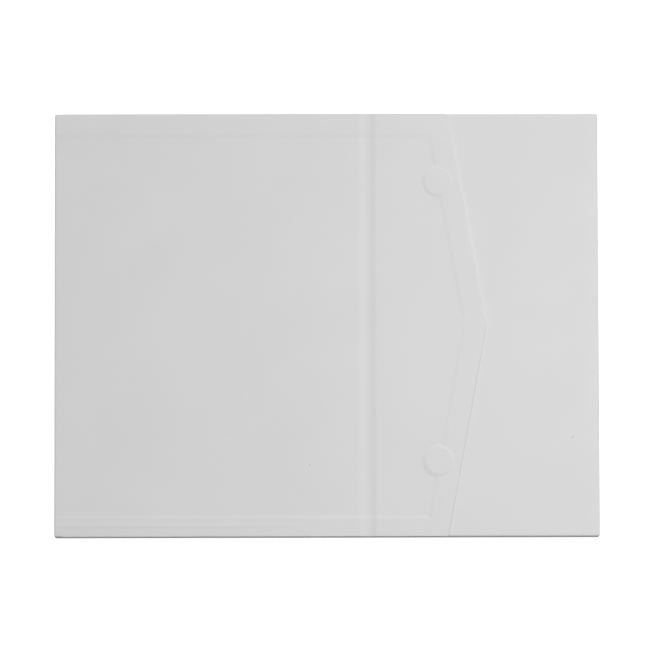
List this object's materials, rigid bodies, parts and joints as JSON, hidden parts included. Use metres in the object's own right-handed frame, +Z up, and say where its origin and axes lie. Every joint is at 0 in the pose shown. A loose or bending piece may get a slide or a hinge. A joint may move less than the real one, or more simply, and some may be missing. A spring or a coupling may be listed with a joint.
{
  "type": "portfolio case",
  "caption": "Rigid white portfolio case for prints: a shallow covered-board tray with a pocket panel, and a hinged cover whose creased, pointed tongue closes by hidden magnets",
  "frame": {"origin": "middle of the underside", "axes": "+X from the spine to the pocket end, +Y from the front wall to the rear wall, +Z up through the closed cover"},
  "size_m": [0.375, 0.293, 0.0136],
  "materials": {
    "covering": "matt white coated paper",
    "lining_paper": "matt white lining paper",
    "greyboard": "uncoated greyboard",
    "keeper_steel": "zinc-plated sheet steel",
    "magnet_plating": "nickel-plated magnet"
  },
  "bodies": {
    "tray": {"base_covering": "covering", "base_board": "greyboard", "base_lining": "lining_paper", "front_wall_board": "greyboard", "rear_wall_board": "greyboard", "right_wall_board": "greyboard", "spine_board": "greyboard", "wall_lining": "lining_paper", "front_wall_covering": "covering", "rear_wall_covering": "covering", "spine_covering": "covering", "pocket_board": "greyboard", "pocket_lining": "lining_paper", "pocket_covering": "covering", "keeper_disc_front": "keeper_steel", "keeper_disc_rear": "keeper_steel", "spine_hinge_face": "covering", "spine_hinge_lining": "lining_paper"},
    "leaf": {"leaf_board": "greyboard", "leaf_lining": "lining_paper", "leaf_face": "covering", "crease_face": "covering", "crease_lining": "lining_paper"},
    "tongue": {"tongue_board": "greyboard", "tongue_lining": "lining_paper", "tongue_face": "covering", "magnet_front": "magnet_plating", "magnet_rear": "magnet_plating"}
  },
  "joints": [
    {"name": "leaf_hinge", "type": "hinge", "parent": "tray", "child": "leaf", "pos_m": [-0.1837, 0, 0.01355], "axis": [0, -1, 0], "range_deg": [0, 180], "deforming": ["spine_hinge_face", "spine_hinge_lining"]},
    {"name": "tongue_hinge", "type": "hinge", "parent": "leaf", "child": "tongue", "pos_m": [0.02775, 0, 0.0136], "axis": [0, -1, 0], "range_deg": [0, 180], "deforming": ["crease_face", "crease_lining"]}
  ]
}
